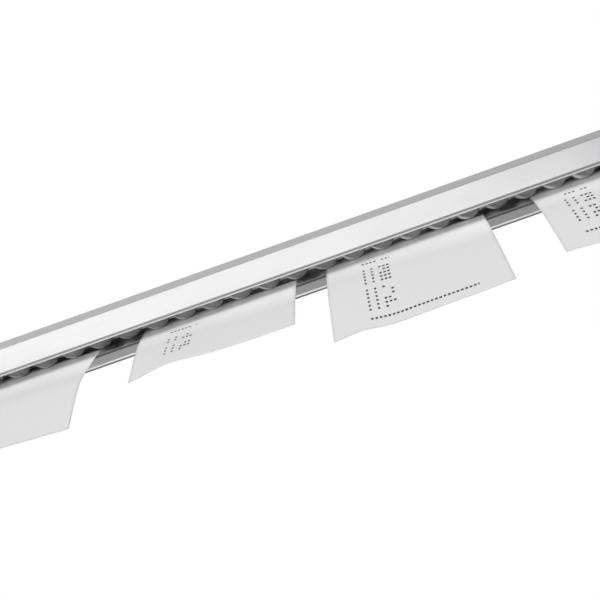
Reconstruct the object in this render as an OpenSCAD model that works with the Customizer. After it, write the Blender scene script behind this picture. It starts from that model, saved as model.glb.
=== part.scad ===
// Order ticket rail: an aluminium extrusion with a row of glass marbles in its channel.
// A ticket pushed in under the marbles lifts them up the ramp, and they roll back and hold it.
// Frame: X along the rail, -Y towards the person, +Z up.
// The origin lies on the wall face of the tape, at mid length and mid height.
// Sections are drawn as [distance from the rail's back, height above its bottom].

/* [Rail] */
// Length of the aluminium extrusion
rail_len = 500; // [240:10:600]
// Height of the extrusion
rail_h = 25; // [24.5:0.5:32]
// Depth of the extrusion, from its back to its front face
rail_d = 19; // [18.5:0.5:24]
// Thickness of the extrusion's walls
wall_t = 1.5; // [1:0.1:1.7]
// Radius of the edge between the top and the front face
edge_r = 0.4; // [0.2:0.1:1]
// Radius of the fillets in the channel's upper corners
fillet_r = 0.6; // [0.3:0.1:1]

/* [Slot] */
// Height of the ramp's crest above the rail's bottom
crest_h = 6.4; // [6:0.1:7]
// Height of the open slot between the crest and the bead
slot_h = 5.7; // [5:0.1:6.5]
// How far the crest stays behind the front face
crest_set = 1.5; // [1:0.1:2.5]
// Radius of the crest's rounded edge
crest_r = 0.5; // [0.3:0.1:0.7]
// Slope of the ramp, which rises towards the wall
ramp_tilt = 6; // [3:1:8]
// How far the bottom lip stands out past the front face
lip_out = 1.75; // [1.2:0.05:2.5]
// Radius of the bottom lip
lip_r = 0.9; // [0.6:0.1:1.1]
// Height of the lip's centre above the rail's bottom
lip_h = 1.9; // [1.5:0.1:2.2]
// How far the foot's edge stays behind the front face
foot_set = 0.7; // [0.3:0.1:1.2]

/* [Bead and groove] */
// Radius of the bead along the front wall's lower edge
bead_r = 0.65; // [0.55:0.05:0.75]
// How far the bead stays behind the front face
bead_set = 0.2; // [0:0.05:0.4]
// Height of the groove's slanted flank above the bead
groove_h = 0.5; // [0.3:0.1:1]
// Depth of the fine groove
groove_d = 0.5; // [0.2:0.1:0.7]

/* [Marbles] */
// Gap between neighbouring marbles, and between a marble and the front wall or a ticket
ball_gap = 0.3; // [0.3:0.1:0.6]
// Room behind a marble, into which it rolls when a ticket goes under it
roll_room = 1.7; // [1.4:0.1:2.4]
// Least room above a marble
head_room = 1.7; // [1:0.1:2.4]

/* [Tickets] */
// Width of the ticket paper
ticket_w = 78; // [57:1:80]
// Thickness of the ticket solid
ticket_t = 0.2; // [0.1:0.05:0.3]
// Gap between a ticket and the ramp under it
ticket_lift = 0.1; // [0.05:0.05:0.2]
// Gap between a ticket's inner corner and the rail's back wall
ticket_gap = 0.4; // [0.3:0.1:1]
// Angle between a ticket's sides and a line square to the rail
ticket_yaw = 5.5; // [0:0.5:5.5]

/* [End caps] */
// Thickness of the end plate
cap_t = 2.5; // [2:0.1:4]
// Radius of the end plate's corners
cap_r = 0.8; // [0.4:0.1:1.5]
// Depth of the plug that enters the channel
plug_len = 6; // [3:0.5:10]
// Wall of the plug, which is hollow
plug_wall = 1.6; // [1:0.1:2.5]
// Gap between the plug and the channel
plug_gap = 0.15; // [0.05:0.05:0.3]

/* [End screws] */
// Outer diameter of the screw's thread
screw_d = 2.9; // [2.2:0.1:3]
// Length of the screw, with its countersunk head
screw_len = 9.5; // [6:0.5:16]
// Length of the screw's pointed tip
tip_len = 1.5; // [1:0.1:2]
// Diameter of the countersunk head
head_d = 5.4; // [4.4:0.1:5.6]
// Height of the head's cone
head_h = 1.6; // [1.2:0.1:1.8]
// Height of the rim between the head's cone and its flat top
head_rim = 0.2; // [0.1:0.05:0.4]
// Width of the head's cross recess
recess_w = 0.7; // [0.4:0.1:1]
// Length of the head's cross recess
recess_l = 3; // [2:0.1:3.6]
// Depth of the head's cross recess
recess_d = 1; // [0.5:0.1:1.4]
// Clearance round a screw, on the radius
screw_gap = 0.05; // [0.03:0.01:0.1]
// Diameter of the port that is extruded round each screw
port_d = 5.2; // [4.6:0.1:5.6]
// Distance from the rail's back to the rear screw
screw_back = 4.4; // [4.2:0.1:5]
// Distance between the two screws of one end
screw_pitch = 8.6; // [7:0.1:9]
// Height of the screws above the rail's bottom
screw_h = 3.5; // [3.3:0.1:3.7]

/* [Mounting tape] */
// Width of the foam tape
tape_w = 19; // [9:1:22]
// Thickness of the foam tape
tape_t = 1; // [0.5:0.1:2]
// Distance from the tape's end to the rail's end
tape_end = 5; // [0:1:40]

/* [Hidden] */
// Places of the tickets' middles at the crest, as shares of the rail's length
ticket_place_shares = [-0.269, -0.069, 0.118, 0.322];
// Lengths of the tickets past the crest, as shares of their width
ticket_free_shares = [0.69, 0.54, 0.76, 0.7];
// Slopes of the tickets at their outer ends
ticket_end_tilts = [22, 13, 20, 22];
// Share of its free length by which a ticket is drawn too long before its outline cuts it
spare_share = 0.2;
// Steps in which the bend of a ticket is drawn
ticket_steps = 12;
// Overrun of cuts
over = 1;
// How deep the slanted faces start inside the round edges that they join
tuck = 0.02;

// Middle of the crest's round edge
crest_u = rail_d - crest_set - crest_r;
crest_v = crest_h - crest_r / cos(ramp_tilt);
// Middle of the bottom lip
lip_u = rail_d + lip_out - lip_r;
// Middle of the bead
bead_u = rail_d - bead_set - bead_r;
bead_v = crest_h + slot_h + bead_r;
// Upper edge of the fine groove
groove_top = bead_v + bead_r + groove_h;
// Slanted lead-in, from the crest's round edge down to the lip
lead_run = [lip_u - crest_u, lip_h - crest_v];
lead_a = atan2(lead_run[1], lead_run[0]) + acos((crest_r - lip_r) / norm(lead_run));
lead_n = [cos(lead_a), sin(lead_a)];
lead_start = [crest_u, crest_v] + (crest_r - tuck) * lead_n;
lead_end = [lip_u, lip_h] + (lip_r - tuck) * lead_n;
// Slanted underside, from the foot's edge up to the lip
foot_u = rail_d - foot_set;
foot_run = [lip_u - foot_u, lip_h];
foot_a = atan2(foot_run[1], foot_run[0]) - asin((lip_r - tuck) / norm(foot_run));
foot_end = [lip_u, lip_h] + (lip_r - tuck) * [sin(foot_a), -cos(foot_a)];

// Radius of a marble: the largest that keeps its room in the channel, in depth and in height
ball_front = rail_d - wall_t - ball_gap;
ball_under = ball_gap + ticket_t + ticket_lift;
deep_r = (ball_front - wall_t - roll_room) / 2;
high_room = rail_h - wall_t - head_room - ramp_v(ball_front) - ball_under / cos(ramp_tilt);
high_r = high_room / (1 + tan(ramp_tilt) + 1 / cos(ramp_tilt));
ball_r = min(deep_r, high_r);

// Middle of a marble at rest against the front wall
ball_u = ball_front - ball_r;
ball_v = ramp_v(ball_u) + (ball_r + ball_under) / cos(ramp_tilt);
ball_pitch = 2 * ball_r + ball_gap;
ball_count = floor((rail_len - 2 * plug_len - ball_gap) / ball_pitch);

// Middle of a ticket's inner edge
ticket_in = wall_t + ticket_gap + ticket_w / 2 * sin(ticket_yaw);
ticket_count = len(ticket_place_shares);

sides = ["left", "right"];
$fn = 48;

function marble_name(i) = str("marble_", i < 10 ? "0" : "", i);

function ticket_name(i) = str("ticket_", i);

// Height of the ramp's upper face at a distance from the rail's back
function ramp_v(u) = crest_h + (crest_u - u) * tan(ramp_tilt);

// Length of a ticket past the crest
function ticket_free(i) = ticket_w * ticket_free_shares[i - 1];

// Slope of a ticket at a length s past the crest: it sags as a sheet that is held at one end
function sag(i, s) =
    let (rest = 1 - min(s / ticket_free(i), 1))
    ramp_tilt + (ticket_end_tilts[i - 1] - ramp_tilt) * (1 - rest * rest * rest);

// Point of a ticket's underside after k steps past the crest
function ticket_point(i, k, step) =
    k == 0
    ? [crest_u, crest_h]
    : let (slope = sag(i, (k - 0.5) * step))
        ticket_point(i, k - 1, step) + step * [cos(slope), -sin(slope)];

// Underside of a ticket, from the back wall to past its outer end
function ticket_line(i) =
    let (step = ticket_free(i) * (1 + spare_share) / ticket_steps)
    concat([[wall_t, ramp_v(wall_t)]], [for (k = [0 : ticket_steps]) ticket_point(i, k, step)]);

// How far a ticket's outer edge lies from the crest, seen from above
function ticket_reach(i) =
    ticket_point(i, ticket_steps, ticket_free(i) / ticket_steps)[0] - crest_u;

function reversed(list) = [for (k = [len(list) - 1 : -1 : 0]) list[k]];

// Extrudes a section between two places along the rail
module along_rail(x_from, x_to) {
    translate([x_to, -tape_t, -rail_h / 2])
        rotate([90, 0, -90])
            linear_extrude(height = x_to - x_from)
                children();
}

// Fillet in the corner at the origin, between the two positive directions
module fillet(r) {
    difference() {
        square(r);
        translate([r, r])
            circle(r);
    }
}

// What the rounding of a corner at the origin takes away, where the piece lies behind it
module corner_cut(r) {
    translate([-r, -r])
        difference() {
            square(r + over);
            circle(r);
        }
}

// Ramp, crest, slanted lead-in, bottom lip and slanted underside, as one filled outline
module lower_outline() {
    translate([crest_u, crest_v])
        circle(crest_r);
    translate([lip_u, lip_h])
        circle(lip_r);
    polygon([
        [0, 0],
        [foot_u, 0],
        foot_end,
        [lip_u, lip_h],
        lead_end,
        lead_start,
        [crest_u, crest_v],
        [crest_u, crest_h],
        [0, ramp_v(0)]
    ]);
}

// Closed chamber below the ramp, a wall's thickness behind its front and its lead-in
module chamber() {
    front = rail_d - wall_t;
    web_drop = wall_t / cos(ramp_tilt);
    lead_line = lead_n * lead_start - wall_t;
    top_u = (lead_line - lead_n[1] * (ramp_v(0) - web_drop)) / (lead_n[0] - lead_n[1] * tan(ramp_tilt));
    polygon([
        [wall_t, wall_t],
        [front, wall_t],
        [front, (lead_line - lead_n[0] * front) / lead_n[1]],
        [top_u, ramp_v(top_u) - web_drop],
        [wall_t, ramp_v(wall_t) - web_drop]
    ]);
}

module at_screws() {
    for (k = [0, 1])
        translate([screw_back + k * screw_pitch, screw_h])
            children();
}

// Front wall, with a slanted flank down into the fine groove and the bead along its lower edge
module front_wall() {
    wall_u = rail_d - wall_t;
    groove_u = rail_d - groove_d;
    polygon([
        [wall_u, bead_v],
        [groove_u, bead_v],
        [groove_u, groove_top - groove_h],
        [rail_d, groove_top],
        [rail_d, rail_h],
        [wall_u, rail_h]
    ]);
    translate([bead_u, bead_v])
        circle(bead_r);
}

module rail_section() {
    under_top = rail_h - wall_t;
    difference() {
        union() {
            lower_outline();
            front_wall();
            square([wall_t, rail_h]);
            translate([0, under_top])
                square([rail_d, wall_t]);
            translate([wall_t, under_top])
                mirror([0, 1])
                    fillet(fillet_r);
            translate([rail_d - wall_t, under_top])
                rotate(180)
                    fillet(fillet_r);
        }
        difference() {
            chamber();
            at_screws()
                circle(d = port_d);
        }
        at_screws()
            circle(screw_d / 2 + screw_gap);
        translate([rail_d, rail_h])
            corner_cut(edge_r);
    }
}

// Cross-section of the channel above the ramp, drawn in by a distance
module channel_section(inset) {
    low = inset / cos(ramp_tilt);
    back = wall_t + inset;
    front = rail_d - wall_t - inset;
    top = rail_h - wall_t - inset;
    difference() {
        polygon([
            [back, ramp_v(back) + low],
            [front, ramp_v(front) + low],
            [front, top],
            [back, top]
        ]);
        translate([front, top])
            corner_cut(fillet_r);
        translate([back, top])
            mirror([1, 0])
                corner_cut(fillet_r);
    }
}

// Outline of the rail's end with the slot closed
module cap_outline() {
    difference() {
        union() {
            lower_outline();
            polygon([[0, 0], [foot_u, 0], [rail_d, lip_h], [rail_d, rail_h], [0, rail_h]]);
        }
        translate([rail_d, rail_h])
            corner_cut(cap_r);
        translate([0, rail_h])
            mirror([1, 0])
                corner_cut(cap_r);
        rotate(180)
            corner_cut(cap_r);
    }
}

// Half outline of a countersunk head and its shank as [radius, height], drawn out by a distance
function head_outline(out) = [
    [screw_d / 2 + out, -head_rim - head_h],
    [head_d / 2 + out, -head_rim]
];

// Countersunk screw with its flat top at the origin and its tip towards -X
module screw() {
    rotate([0, 90, 0])
        difference() {
            rotate_extrude()
                polygon(concat(
                    [[0, -screw_len], [recess_w / 2, -screw_len], [screw_d / 2, tip_len - screw_len]],
                    head_outline(0),
                    [[head_d / 2, 0], [0, 0]]
                ));
            for (turn = [0, 90])
                rotate(turn)
                    translate([-recess_l / 2, -recess_w / 2, -recess_d])
                        cube([recess_l, recess_w, recess_d + over]);
        }
}

// Countersunk hole for a screw, from the same sizes and a clearance
module screw_hole() {
    rotate([0, 90, 0])
        rotate_extrude()
            polygon(concat(
                [[0, -cap_t - over], [screw_d / 2 + screw_gap, -cap_t - over]],
                head_outline(screw_gap),
                [[head_d / 2 + screw_gap, over], [0, over]]
            ));
}

// Puts what is drawn for the right end at either end
module at_end(side) {
    mirror([side == "left" ? 1 : 0, 0, 0])
        children();
}

// Puts screws or their holes on the outer face of the right end plate
module on_plate() {
    for (k = [0, 1])
        translate([
            rail_len / 2 + cap_t,
            -tape_t - screw_back - k * screw_pitch,
            screw_h - rail_h / 2
        ])
            children();
}

module rail_profile() {
    color("silver")
        along_rail(-rail_len / 2, rail_len / 2)
            rail_section();
}

module mounting_tape() {
    color("dimgray")
        translate([0, -tape_t / 2, 0])
            cube([rail_len - 2 * tape_end, tape_t, tape_w], center = true);
}

module end_cap(side) {
    end = rail_len / 2;
    color("darkgray")
        at_end(side)
            difference() {
                union() {
                    along_rail(end, end + cap_t)
                        cap_outline();
                    along_rail(end - plug_len, end)
                        difference() {
                            channel_section(plug_gap);
                            channel_section(plug_gap + plug_wall);
                        }
                }
                on_plate()
                    screw_hole();
            }
}

module end_cap_screws(side) {
    color("gainsboro")
        at_end(side)
            on_plate()
                screw();
}

module marble(i) {
    color([0.72, 0.78, 0.78, 0.5])
        translate([
            (i - (ball_count + 1) / 2) * ball_pitch,
            -tape_t - ball_u,
            ball_v - rail_h / 2
        ])
            sphere(ball_r);
}

// A ticket lies on the ramp under the marbles and sags in front of the rail
module ticket(i) {
    lift = [0, ticket_lift / cos(ramp_tilt)];
    under = [for (p = ticket_line(i)) p + lift];
    thick = [0, ticket_t / cos(ramp_tilt)];
    reach = ticket_reach(i);
    held = crest_u - ticket_in;
    place = rail_len * ticket_place_shares[i - 1];
    color("white")
        intersection() {
            along_rail(place - ticket_w, place + ticket_w)
                polygon(concat(under, [for (p = reversed(under)) p + thick]));
            translate([place, -tape_t - crest_u, 0])
                rotate(-ticket_yaw)
                    translate([-ticket_w / 2, -reach, -ticket_w])
                        cube([ticket_w, reach + held, 2 * ticket_w]);
        }
}

rail_profile();
mounting_tape();
for (s = sides) {
    end_cap(s);
    end_cap_screws(s);
}
for (i = [1 : ball_count])
    marble(i);
for (i = [1 : ticket_count])
    ticket(i);
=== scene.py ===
import math

import bpy
from mathutils import Matrix, Vector


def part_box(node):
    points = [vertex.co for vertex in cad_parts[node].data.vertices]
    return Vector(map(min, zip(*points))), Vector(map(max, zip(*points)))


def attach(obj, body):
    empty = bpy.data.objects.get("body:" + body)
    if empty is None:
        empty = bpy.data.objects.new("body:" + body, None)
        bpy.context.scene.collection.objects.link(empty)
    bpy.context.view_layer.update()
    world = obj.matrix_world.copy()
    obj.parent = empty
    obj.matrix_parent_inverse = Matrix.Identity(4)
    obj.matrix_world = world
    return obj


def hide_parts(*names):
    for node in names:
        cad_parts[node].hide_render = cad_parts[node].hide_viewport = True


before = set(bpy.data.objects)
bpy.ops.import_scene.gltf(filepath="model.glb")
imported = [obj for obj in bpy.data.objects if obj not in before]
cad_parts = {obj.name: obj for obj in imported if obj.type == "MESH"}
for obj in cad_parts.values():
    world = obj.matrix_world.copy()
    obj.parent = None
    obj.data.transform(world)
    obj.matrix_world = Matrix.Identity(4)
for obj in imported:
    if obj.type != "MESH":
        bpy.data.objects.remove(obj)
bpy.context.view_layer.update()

# Lengths that are multiplied by MM are in metres, the other ones say their unit. Angles are in degrees
MM = 0.001


def grey(value):
    return (value, value, value, 1.0)


# The crest of the rail, the rounded edge of its ramp, which the tickets bend over
RAIL_LOW, RAIL_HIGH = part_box("rail_profile")
CREST_HEIGHT = 6.4 * MM
CREST_BACK = 17.0 * MM
CREST_Y = RAIL_HIGH.y - CREST_BACK
CREST_Z = RAIL_LOW.z + CREST_HEIGHT
RAMP_SLOPE = 6.0

# Tones of the materials, from the darker to the lighter one
TONES = {
    "aluminium": ((0.85, 0.852, 0.853, 1), (0.88, 0.881, 0.882, 1)),
    "plastic": ((0.20, 0.205, 0.21, 1), (0.24, 0.245, 0.25, 1)),
    "steel": ((0.62, 0.62, 0.61, 1), (0.72, 0.72, 0.71, 1)),
    "foam": ((0.045, 0.046, 0.048, 1), (0.075, 0.076, 0.078, 1)),
    "glass": ((0.66, 0.67, 0.67, 1), (0.76, 0.765, 0.765, 1)),
    "paper": (grey(0.87), grey(0.91)),
    "floor": (grey(0.82), grey(0.86)),
}

# Roughness of the surfaces that vary, from their smoothest to their roughest places
ROUGHNESS = {
    "aluminium": (0.3, 0.38),
    "plastic": (0.42, 0.55),
    "steel": (0.22, 0.36),
    "glass": (0.02, 0.1),
}

# Bumps, as their strength and their height
BUMPS = {
    "aluminium": (0.25, 0.02 * MM),
    "plastic": (0.35, 0.04 * MM),
    "steel": (0.2, 0.02 * MM),
    "foam": (0.6, 0.2 * MM),
    "glass": (0.03, 0.03 * MM),
    "paper": (0.2, 0.04 * MM),
}

# Textures, as their cells in a metre along X, Y and Z
CELLS = {
    "rail_lines": (12, 9000, 9000),
    "rail_streaks": (4, 700, 700),
    "rail_cloud": (25, 60, 60),
    "cap_grain": (2500, 2500, 2500),
    "cap_cloud": (60, 60, 60),
    "screw_grain": (900, 900, 900),
    "foam_pores": (1600, 1600, 1600),
    "foam_cloud": (200, 200, 200),
    "glass_smoke": (90, 90, 90),
    "glass_scuffs": (260, 260, 260),
    "paper_fibres": (900, 900, 900),
    "paper_cloud": (45, 45, 45),
    "floor_cloud": (30, 30, 30),
}

# The values that most of a noise lies between, and the spans used for the smoke and scuffs of the glass
NOISE_SPAN = (0.3, 0.7)
SMOKE_SPAN = (0.35, 0.7)
SCUFF_SPAN = (0.45, 0.8)

# Aluminium: the share of its fine lines, and its zones of shade, with how dark each one is. Their
# height above the bottom of the rail, their distance from its back and their soft border are in mm
LINE_SHARE = 0.35
ZONES = [
    # the channel behind the middles of the marbles, and before them
    dict(height=(6.3, 24.0), back=(1.4, 9.5), dark=0.35),
    dict(height=(6.3, 24.0), back=(9.8, 16.5), dark=0.12),
    # just under the crest
    dict(height=(5.3, 6.02), back=(17.1, 19.5), dark=0.78),
    # the fine groove over the bead
    dict(height=(13.35, 13.95), back=(18.3, 20.0), dark=0.5),
    # the underside of the lip
    dict(height=(-1.0, 1.15), back=(18.0, 22.0), dark=0.85),
]
ZONE_SOFT = 0.15
ZONE_TONE = (0.06, 0.06, 0.062, 1)

# Marbles: how far a ball is drawn from its CAD marble, so that it rests on the paper, and its mesh
BALL_SEAT = Vector((0, -0.2, -0.4)) * MM
BALL_RINGS = 24
BALL_SIDES = 48

# Their lighter crescent is a painted highlight. It lies where the surface turns away from one direction
# and faces another one, and the glass is drawn less clear there so that the painted highlight shows
CRESCENT_AWAY = (0.0, -0.976, 0.216)
AWAY_SPAN = (0.32, 0.55)
CRESCENT_FACING = (-0.75, 0.0, -0.66)
FACING_SPAN = (0.45, 0.85)
PAINTED_HIGHLIGHT_TONE = grey(0.98)
PAINTED_HIGHLIGHT_CLEAR = 0.05
BODY_CLEAR = 0.72

# Paper: the sheet, how high it lies over the ramp, how much of it is in the rail, the size of its faces,
# and how upright the normal of a face has to be for the smooth sides, as against the cut edge
TICKET_WIDTH = 78 * MM
PAPER_THICK = 0.1 * MM
PAPER_LIFT = 0.05 * MM
HELD_LENGTH = 11.0 * MM
PAPER_STEP = 1.5 * MM
FLAT_NORMAL = 0.5

# Its darker fibres; its outer part, drawn darker as painted light that falls off away from the crest; and
# its part in the rail, drawn darker as painted shade; each with its strength, and the distances past the
# crest over which the outer part starts and the painted shade ends
FIBRE_TONE, FIBRE_SHARE, FIBRE_SPAN = grey(0.76), 0.25, (0.35, 0.75)
PAINTED_FALLOFF_TONE, PAINTED_FALLOFF_SHARE, PAINTED_FALLOFF_EDGE = grey(0.65), 0.85, (3 * MM, 18 * MM)
SHADE_TONE, SHADE_SHARE, SHADE_EDGE = grey(0.05), 0.15, (0.3 * MM, 2.8 * MM)

# Tickets, in mm: the place of the middle along the rail, the turn, the length past the crest, how much
# of that is flat, and the slopes of the outer edge, at even places from left to right
TICKETS = {
    "ticket_1": dict(
        middle=-135.1, yaw=6.5, free=53.4, flat=22, slopes=(28.5, 27.5, 26.5, 25.5, 24.5)
    ),
    "ticket_2": dict(
        middle=-34.3, yaw=5.6, free=41.9, flat=0, slopes=(16.9, 9.9, 11.3, 10.9, 9.7)
    ),
    "ticket_3": dict(
        middle=59.4, yaw=7.0, free=58.8, flat=0, slopes=(25.7, 22.9, 23.7, 21.7, 19.9, 18.3, 16.5)
    ),
    "ticket_4": dict(
        middle=161.3, yaw=5.9, free=53.9, flat=0, slopes=(23.1, 23.1, 23.0, 23.0, 23.0)
    ),
}

# Print, in mm: rows of neutral dashes. A ticket has a header row, groups of rows, by their first row and
# their number, and maybe a longer line. The columns of a group are given by their start, end and the
# share of dashes inked
DASH_PITCH = 1.85
DASH_SHARE = 0.62
ROW_PITCH = 2.85
ROW_HEIGHT = 1.3
LINE_INKED = 0.85
COLUMNS = [(0.0, 1.0, 1.0), (3.7, 4.7, 1.0), (7.4, 12.9, 0.72)]
PRINT = {
    "ticket_2": dict(left=16.0, header=8.2, header_end=29.5, groups=[(16.0, 2), (24.6, 3)]),
    "ticket_3": dict(
        left=17.2, header=8.0, header_end=30.5, groups=[(15.0, 5), (32.0, 6)], line=52.6, line_end=64.0
    ),
    "ticket_4": dict(
        left=11.6, header=8.5, header_end=24.5, groups=[(15.0, 3), (26.2, 4)], line=44.0, line_end=59.0
    ),
}
INK_TONE = (0.015, 0.015, 0.017, 1)
INK_WEAR = 0.85

# Camera, worked out from the rail's lines and the marbles' gaps, with its lens and sensor in mm
LENS = 49.2
SENSOR = 36.0
CLIP_START = 10 * MM
TARGET = Vector((4.2, -20.0, -13.3)) * MM
DISTANCE = 387 * MM
AZIMUTH, ELEVATION, ROLL = 2.33, 12.5, 19.9

# Floor, in metres, and the tones of the surround, from one end of each axis to the other
FLOOR_Z = -1.0
FLOOR_SIZE = 30.0
WORLD_TONES = {"X": (1.25, 0.75), "Y": (0.5, 1.0), "Z": (0.42, 0.52)}

# Soft boxes, in metres and watts. Each one shows either in glossy surfaces or on matt ones, so that the
# metal and the papers get the photo's tones apart from each other
IN_FRONT = dict(place=(-0.35, -1.5, -0.3), aim=(-0.15, 0, 0), size=(2.3, 1.3))
LIGHTS = {
    "front_card": dict(IN_FRONT, power=7.6, glossy=True),
    "front_soft": dict(IN_FRONT, power=1.5, glossy=False),
    "overhead": dict(
        place=(-0.4, -0.15, 1.6), aim=(0, 0, 0), size=(1.0, 0.25), power=13.2, glossy=False
    ),
    "slot_fill": dict(
        place=(1.1, -1.0, 0.6), aim=(0.15, 0, 0), size=(0.9, 0.5), power=9.5, glossy=False
    ),
    "side_fill": dict(
        place=(-2.0, -2.3, 0.6), aim=(0, 0, 0), size=(1.0, 1.0), power=24.0, glossy=False
    ),
    "top_strip": dict(
        place=(-0.3, 0.9, 1.5), aim=(0, 0, 0), size=(1.6, 0.3), power=2.7, glossy=True
    ),
}

# Sockets of the Mix node for its two colours and its result, which share their names with other ones
MIX_FIRST, MIX_SECOND, MIX_RESULT = 6, 7, 2


class Nodes:
    """Short calls for the nodes of one tree. A value is a number, a colour or another node's output."""

    def __init__(self, tree):
        self.tree = tree

    def feed(self, value, socket):
        if isinstance(value, bpy.types.NodeSocket):
            self.tree.links.new(value, socket)
        else:
            socket.default_value = value

    def node(self, kind, inputs=(), **settings):
        made = self.tree.nodes.new("ShaderNode" + kind)
        for key, value in settings.items():
            setattr(made, key, value)
        for key, value in dict(inputs).items():
            self.feed(value, made.inputs[key])
        return made

    def axes(self, kind):
        """The X, Y and Z of one kind of texture coordinates."""
        coords = self.node("TexCoord").outputs[kind]
        return self.node("SeparateXYZ", {"Vector": coords}).outputs

    def cells(self, texture):
        """Object coordinates in cells of a texture."""
        coords = self.node("TexCoord").outputs["Object"]
        return self.node("Mapping", {"Vector": coords, "Scale": CELLS[texture]}).outputs["Vector"]

    def noise(self, texture, detail=3.0, rough=0.5):
        inputs = {"Vector": self.cells(texture), "Scale": 1.0, "Detail": detail, "Roughness": rough}
        return self.node("TexNoise", inputs).outputs["Fac"]

    def ramp(self, value, low, high, to_low=0.0, to_high=1.0):
        inputs = {"Value": value, "From Min": low, "From Max": high, "To Min": to_low, "To Max": to_high}
        return self.node("MapRange", inputs).outputs["Result"]

    def spread(self, noise, to_low=0.0, to_high=1.0):
        """A noise, stretched so that its usual span runs from one value to another."""
        return self.ramp(noise, *NOISE_SPAN, to_low, to_high)

    def math(self, operation, a, b=0.0):
        return self.node("Math", {0: a, 1: b}, operation=operation).outputs[0]

    def mix(self, factor, first, second):
        inputs = {"Factor": factor, MIX_FIRST: first, MIX_SECOND: second}
        return self.node("Mix", inputs, data_type="RGBA").outputs[MIX_RESULT]

    def white_to_camera(self, shaded, output):
        """Plain white to the camera, and the shaded look to the light that reaches the object."""
        white = self.node("Emission", {"Color": grey(1.0)}).outputs[0]
        seen = self.node("LightPath").outputs["Is Camera Ray"]
        mixed = self.node("MixShader", {0: seen, 1: shaded, 2: white}).outputs[0]
        self.tree.links.new(mixed, output.inputs["Surface"])


class Shader(Nodes):
    """A material with a Principled shader."""

    def __init__(self, name, **sockets):
        self.material = bpy.data.materials.new(name)
        self.material.use_nodes = True
        super().__init__(self.material.node_tree)
        self.bsdf = self.tree.nodes["Principled BSDF"]
        for socket, value in sockets.items():
            self.set(socket.replace("_", " "), value)

    def set(self, socket, value):
        self.feed(value, self.bsdf.inputs[socket])

    def bump(self, height, strength, distance):
        made = self.node("Bump", {"Strength": strength, "Distance": distance, "Height": height})
        self.set("Normal", made.outputs["Normal"])


def zone(s, value, low, high):
    """1 between two limits in mm, falling softly to 0 outside them."""
    low, high, soft = low * MM, high * MM, ZONE_SOFT * MM
    rise = s.ramp(value, low - soft, low)
    fall = s.ramp(value, high, high + soft, 1.0, 0.0)
    return s.math("MULTIPLY", rise, fall)


def aluminium():
    """Anodised metal with faint lines along the rail, darker in the zones of shade."""
    s = Shader("anodised_aluminium", Metallic=1.0)
    lines = s.noise("rail_lines", detail=2.0)
    streaks = s.noise("rail_streaks")
    cloud = s.noise("rail_cloud", detail=4.0)
    drawn = s.math(
        "ADD", s.math("MULTIPLY", lines, LINE_SHARE), s.math("MULTIPLY", streaks, 1 - LINE_SHARE)
    )
    colour = s.mix(s.spread(drawn), *TONES["aluminium"])
    place = s.axes("Object")
    height = s.math("SUBTRACT", place["Z"], RAIL_LOW.z)
    back = s.math("SUBTRACT", RAIL_HIGH.y, place["Y"])
    for spec in ZONES:
        inside = s.math("MULTIPLY", zone(s, height, *spec["height"]), zone(s, back, *spec["back"]))
        colour = s.mix(s.math("MULTIPLY", inside, spec["dark"]), colour, ZONE_TONE)
    s.set("Base Color", colour)
    s.set("Roughness", s.spread(cloud, *ROUGHNESS["aluminium"]))
    s.bump(lines, *BUMPS["aluminium"])
    return s.material


def plastic():
    """Moulded plastic with a fine grain."""
    s = Shader("cap_plastic")
    grain = s.noise("cap_grain", detail=2.0)
    cloud = s.noise("cap_cloud")
    s.set("Base Color", s.mix(s.spread(cloud), *TONES["plastic"]))
    s.set("Roughness", s.spread(grain, *ROUGHNESS["plastic"]))
    s.bump(grain, *BUMPS["plastic"])
    return s.material


def steel():
    """Bright steel, a little uneven."""
    s = Shader("screw_steel", Metallic=1.0)
    grain = s.noise("screw_grain")
    s.set("Base Color", s.mix(s.spread(grain), *TONES["steel"]))
    s.set("Roughness", s.spread(grain, *ROUGHNESS["steel"]))
    s.bump(grain, *BUMPS["steel"])
    return s.material


def foam():
    """Dark foam with open cells."""
    s = Shader("foam_tape", Roughness=0.9)
    inputs = {"Vector": s.cells("foam_pores"), "Scale": 1.0}
    pores = s.node("TexVoronoi", inputs).outputs["Distance"]
    cloud = s.noise("foam_cloud")
    s.set("Base Color", s.mix(s.spread(cloud), *TONES["foam"]))
    s.bump(pores, *BUMPS["foam"])
    return s.material


def glass():
    """Smoky, slightly scuffed glass, with a painted highlight: a lighter crescent low on the left of each
    marble.
    """
    s = Shader("marble_glass", IOR=1.5)
    smoke = s.noise("glass_smoke", rough=0.55)
    scuffs = s.noise("glass_scuffs")
    normal = s.node("TexCoord").outputs["Normal"]
    away, facing = (
        s.node("VectorMath", {0: normal, 1: direction}, operation="DOT_PRODUCT").outputs["Value"]
        for direction in (CRESCENT_AWAY, CRESCENT_FACING)
    )
    # Painted highlight: a lighter, less clear crescent on each marble
    crescent = s.math("MULTIPLY", s.ramp(away, *AWAY_SPAN, 1.0, 0.0), s.ramp(facing, *FACING_SPAN))
    body = s.mix(s.ramp(smoke, *SMOKE_SPAN), *TONES["glass"])
    s.set("Base Color", s.mix(crescent, body, PAINTED_HIGHLIGHT_TONE))
    s.set("Transmission Weight", s.ramp(crescent, 0.0, 1.0, BODY_CLEAR, PAINTED_HIGHLIGHT_CLEAR))
    s.set("Roughness", s.ramp(scuffs, *SCUFF_SPAN, *ROUGHNESS["glass"]))
    s.bump(scuffs, *BUMPS["glass"])
    return s.material


def blocks(spec):
    """Blocks of dashes of one ticket, as left, right, first row, number of rows and share inked."""
    left = spec["left"]
    found = [(left, spec["header_end"], spec["header"], 1, LINE_INKED)]
    for first, rows in spec["groups"]:
        found += [(left + low, left + high, first, rows, share) for low, high, share in COLUMNS]
    if "line" in spec:
        found.append((left, spec["line_end"], spec["line"], 1, LINE_INKED))
    return found


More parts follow.
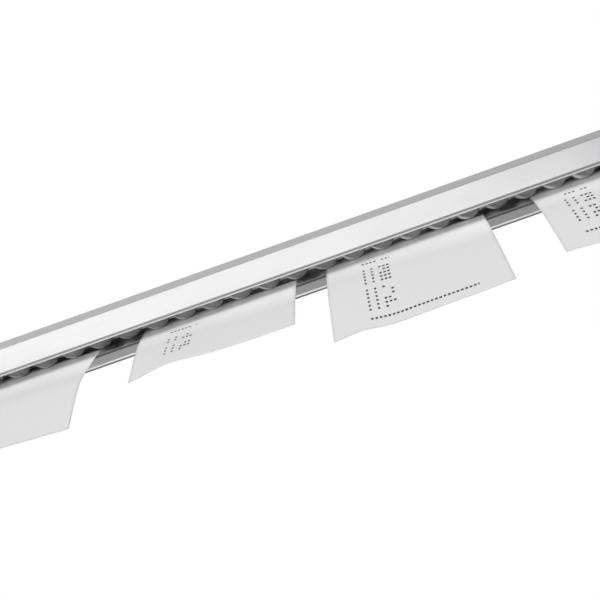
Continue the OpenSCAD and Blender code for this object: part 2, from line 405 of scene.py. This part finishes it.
def ink_block(s, u, v, block):
    """Mask of rows of short dashes in one block of the paper."""
    left, right, first, rows, share = block
    near = first - ROW_HEIGHT / 2
    far = near + (rows - 1) * ROW_PITCH + ROW_HEIGHT
    row = s.math("DIVIDE", s.math("SUBTRACT", v, near * MM), ROW_PITCH * MM)
    dash = s.math("DIVIDE", s.math("SUBTRACT", u, left * MM), DASH_PITCH * MM)
    cell = s.node("CombineXYZ", {"X": s.math("FLOOR", dash), "Y": s.math("FLOOR", row), "Z": first})
    draw = s.node("TexWhiteNoise", {"Vector": cell.outputs[0]}, noise_dimensions="3D").outputs["Value"]
    mask = s.math("LESS_THAN", draw, share)
    mask = s.math("MULTIPLY", mask, s.math("LESS_THAN", s.math("FRACT", dash), DASH_SHARE))
    mask = s.math("MULTIPLY", mask, s.math("LESS_THAN", s.math("FRACT", row), ROW_HEIGHT / ROW_PITCH))
    for value, low, high in ((u, left, right), (v, near, far)):
        mask = s.math("MULTIPLY", mask, s.math("GREATER_THAN", value, low * MM))
        mask = s.math("MULTIPLY", mask, s.math("LESS_THAN", value, high * MM))
    return mask


def printed(s, tone, uv, fibres, spec):
    """The tone of the paper with its print, which the fibres wear a little."""
    ink, *others = (ink_block(s, uv["X"], uv["Y"], block) for block in blocks(spec))
    for mask in others:
        ink = s.math("MAXIMUM", ink, mask)
    worn = s.math("MULTIPLY", ink, s.spread(fibres, 1.0, INK_WEAR))
    return s.mix(worn, tone, INK_TONE)


def paper(name):
    """Paper of one ticket. Its UV is a place on the flat sheet, and Y the distance past the crest."""
    s = Shader(name + "_paper", Roughness=0.75)
    uv = s.axes("UV")
    fibres = s.noise("paper_fibres", detail=4.0, rough=0.6)
    cloud = s.noise("paper_cloud")
    tone = s.mix(s.spread(cloud), *TONES["paper"])
    tone = s.mix(s.ramp(fibres, *FIBRE_SPAN, 0.0, FIBRE_SHARE), tone, FIBRE_TONE)
    # Painted light: the paper is lighter just past the crest and darker further out
    tone = s.mix(s.ramp(uv["Y"], *PAINTED_FALLOFF_EDGE, 0.0, PAINTED_FALLOFF_SHARE), tone, PAINTED_FALLOFF_TONE)
    # Painted shade on the part of the paper in the rail
    past_crest = s.math("SUBTRACT", CREST_Y, s.axes("Object")["Y"])
    tone = s.mix(s.ramp(past_crest, *SHADE_EDGE, SHADE_SHARE, 0.0), tone, SHADE_TONE)
    if name in PRINT:
        tone = printed(s, tone, uv, fibres, PRINT[name])
    s.set("Base Color", tone)
    s.bump(fibres, *BUMPS["paper"])
    return s.material


def add_mesh(name, verts, faces, smooth=True):
    mesh = bpy.data.meshes.new(name)
    mesh.from_pydata(verts, [], faces)
    mesh.validate()
    for poly in mesh.polygons:
        poly.use_smooth = smooth
    piece = bpy.data.objects.new(name, mesh)
    bpy.context.scene.collection.objects.link(piece)
    return piece


def dress(piece, material):
    """Gives a piece this material alone."""
    piece.data.materials.clear()
    piece.data.materials.append(material)


def end_slope(spec, across):
    """Slope of the outer edge at a place across the paper: a Catmull-Rom curve through the given ones."""
    slopes = spec["slopes"]
    last = len(slopes) - 1
    place = min(max(across / TICKET_WIDTH + 0.5, 0), 1) * last
    k = min(int(place), last - 1)
    f = place - k
    a, b, c, d = (slopes[min(max(k + step, 0), last)] for step in (-1, 0, 1, 2))
    bow = (2 * a - 5 * b + 4 * c - d) * f * f + (3 * b - a - 3 * c + d) * f**3
    return (2 * b + (c - a) * f + bow) / 2


def bend(distance, spec, slope):
    """Angle of the paper past the crest: flat at first, then bent as a sheet that is held at one end."""
    flat = spec["flat"] * MM
    rest = 1 - min(max(distance - flat, 0) / (spec["free"] * MM - flat), 1)
    return math.radians(RAMP_SLOPE + (slope - RAMP_SLOPE) * (1 - rest**3))


def paper_point(across, out, spec):
    """Place and upward normal of the bent paper, for a place on the flat one."""
    yaw = math.radians(spec["yaw"])
    slope = end_slope(spec, across)
    x = spec["middle"] * MM + across * math.cos(yaw) - out * math.sin(yaw)
    reach = out * math.cos(yaw) + across * math.sin(yaw)
    y, z = CREST_Y, CREST_Z
    if reach <= 0:
        angle = math.radians(RAMP_SLOPE)
        y -= reach * math.cos(angle)
        z -= reach * math.sin(angle)
    else:
        steps = max(int(reach / PAPER_STEP), 1)
        for k in range(steps):
            angle = bend(reach * (k + 0.5) / steps, spec, slope)
            y -= reach / steps * math.cos(angle)
            z -= reach / steps * math.sin(angle)
        angle = bend(reach, spec, slope)
    return Vector((x, y, z)), Vector((0, -math.sin(angle), math.cos(angle)))


def paper_grid(spec, length, columns, rows):
    """Points of the under and upper side of a paper, and their places on the flat sheet."""
    verts, places = [], []
    for side in (0, 1):
        for j in range(rows + 1):
            for i in range(columns + 1):
                across = TICKET_WIDTH * (i / columns - 0.5)
                out = length * j / rows - HELD_LENGTH
                point, normal = paper_point(across, out, spec)
                verts.append(point + normal * (PAPER_LIFT + side * PAPER_THICK))
                places.append((across + TICKET_WIDTH / 2, out))
    return verts, places


def paper_faces(columns, rows):
    """Faces of both sides, and of the cut edge all round."""

    def at(side, j, i):
        return (side * (rows + 1) + j) * (columns + 1) + i

    faces = []
    for j in range(rows):
        for i in range(columns):
            quad = [(j, i), (j, i + 1), (j + 1, i + 1), (j + 1, i)]
            faces.append([at(0, *p) for p in quad])
            faces.append([at(1, *p) for p in reversed(quad)])
    rim = (
        [(0, i) for i in range(columns)]
        + [(j, columns) for j in range(rows)]
        + [(rows, i) for i in range(columns, 0, -1)]
        + [(j, 0) for j in range(rows, 0, -1)]
    )
    for k, p in enumerate(rim):
        q = rim[(k + 1) % len(rim)]
        faces.append([at(0, *q), at(0, *p), at(1, *p), at(1, *q)])
    return faces


def add_ticket(name, spec):
    """A thin, bent paper in the place of a CAD ticket."""
    length = HELD_LENGTH + spec["free"] * MM
    columns = round(TICKET_WIDTH / PAPER_STEP)
    rows = round(length / PAPER_STEP)
    verts, places = paper_grid(spec, length, columns, rows)
    sheet = add_mesh(name + "_paper", verts, paper_faces(columns, rows))
    layer = sheet.data.uv_layers.new(name="paper")
    for loop in sheet.data.loops:
        layer.data[loop.index].uv = places[loop.vertex_index]
    for poly in sheet.data.polygons:
        poly.use_smooth = abs(poly.normal.z) > FLAT_NORMAL
    material = paper(name)
    for piece in (sheet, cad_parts[name]):
        dress(piece, material)
    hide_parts(name)
    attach(sheet, name)


def add_ball(name, material):
    """A smooth ball in the place of a CAD marble."""
    low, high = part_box(name)
    middle = (low + high) / 2 + BALL_SEAT
    radius = (high.x - low.x) / 2
    verts = [middle + Vector((0, 0, radius))]
    for ring in range(1, BALL_RINGS):
        polar = math.pi * ring / BALL_RINGS
        for k in range(BALL_SIDES):
            turn = 2 * math.pi * k / BALL_SIDES
            flat = Vector((math.cos(turn), math.sin(turn), 0)) * math.sin(polar)
            verts.append(middle + (flat + Vector((0, 0, math.cos(polar)))) * radius)
    verts.append(middle - Vector((0, 0, radius)))
    last = len(verts) - 1
    base = last - BALL_SIDES
    faces = []
    for k in range(BALL_SIDES):
        after = (k + 1) % BALL_SIDES
        faces.append((0, 1 + k, 1 + after))
        faces.append((last, base + after, base + k))
        for ring in range(BALL_RINGS - 2):
            a = 1 + ring * BALL_SIDES
            b = a + BALL_SIDES
            faces.append((a + k, b + k, b + after, a + after))
    ball = add_mesh(name + "_ball", verts, faces)
    dress(ball, material)
    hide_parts(name)
    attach(ball, name)


def dress_nodes():
    """Materials for the CAD nodes, apart from the tickets, and balls for the marbles."""
    looks = {"rail_profile": aluminium(), "mounting_tape": foam()}
    cap, screw, marble = plastic(), steel(), glass()
    for side in ("left", "right"):
        looks["end_cap_" + side] = cap
        looks["end_cap_screws_" + side] = screw
    for name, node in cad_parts.items():
        if name in looks:
            dress(node, looks[name])
        elif name.startswith("marble"):
            dress(node, marble)
            add_ball(name, marble)


def add_floor():
    low, high = -FLOOR_SIZE / 2, FLOOR_SIZE / 2
    corners = [(x, y, FLOOR_Z) for x, y in ((low, low), (high, low), (high, high), (low, high))]
    floor = add_mesh("floor", corners, [(0, 1, 2, 3)], smooth=False)
    s = Shader("floor_pale", Roughness=0.9, Specular_IOR_Level=0.0)
    s.set("Base Color", s.mix(s.noise("floor_cloud"), *TONES["floor"]))
    s.white_to_camera(s.bsdf.outputs[0], s.tree.nodes["Material Output"])
    dress(floor, s.material)


def add_world():
    """Dim studio surround, a little brighter behind the rail, above it and to the left."""
    world = bpy.data.worlds.new("studio")
    bpy.context.scene.world = world
    world.use_nodes = True
    s = Nodes(world.node_tree)
    direction = s.axes("Generated")
    tone, *others = (s.ramp(direction[axis], -1, 1, *ends) for axis, ends in WORLD_TONES.items())
    for other in others:
        tone = s.math("MULTIPLY", tone, other)
    background = s.tree.nodes["Background"]
    s.feed(tone, background.inputs["Color"])
    s.white_to_camera(background.outputs[0], s.tree.nodes["World Output"])


def add_softbox(name, place, aim, size, power, glossy):
    """Area light that shows either in glossy surfaces or on matt ones."""
    data = bpy.data.lights.new(name, "AREA")
    data.shape = "RECTANGLE"
    data.size, data.size_y = size
    data.energy = power
    light = bpy.data.objects.new(name, data)
    light.location = place
    light.rotation_euler = (Vector(aim) - Vector(place)).to_track_quat("-Z", "Y").to_euler()
    light.visible_camera = False
    light.visible_glossy = glossy
    light.visible_diffuse = not glossy
    bpy.context.scene.collection.objects.link(light)


def add_camera():
    """Camera at the photo's angle, turned about its own axis by the roll."""
    azimuth, elevation, roll = (math.radians(a) for a in (AZIMUTH, ELEVATION, ROLL))
    ahead = Vector((-math.sin(azimuth), math.cos(azimuth), 0)) * math.cos(elevation)
    forward = ahead - Vector((0, 0, math.sin(elevation)))
    level = forward.cross(Vector((0, 0, 1))).normalized()
    up = level.cross(forward)
    right = level * math.cos(roll) - up * math.sin(roll)
    top = level * math.sin(roll) + up * math.cos(roll)
    data = bpy.data.cameras.new("camera")
    data.lens = LENS
    data.sensor_width = SENSOR
    data.clip_start = CLIP_START
    camera = bpy.data.objects.new("camera", data)
    turn = Matrix((right, top, -forward)).transposed().to_4x4()
    camera.matrix_world = Matrix.Translation(TARGET - forward * DISTANCE) @ turn
    bpy.context.scene.collection.objects.link(camera)
    bpy.context.scene.camera = camera


add_camera()
dress_nodes()
for ticket_name, ticket_spec in TICKETS.items():
    add_ticket(ticket_name, ticket_spec)
add_floor()
add_world()
for light_name, light_spec in LIGHTS.items():
    add_softbox(light_name, **light_spec)
bpy.context.scene.view_settings.view_transform = "Standard"
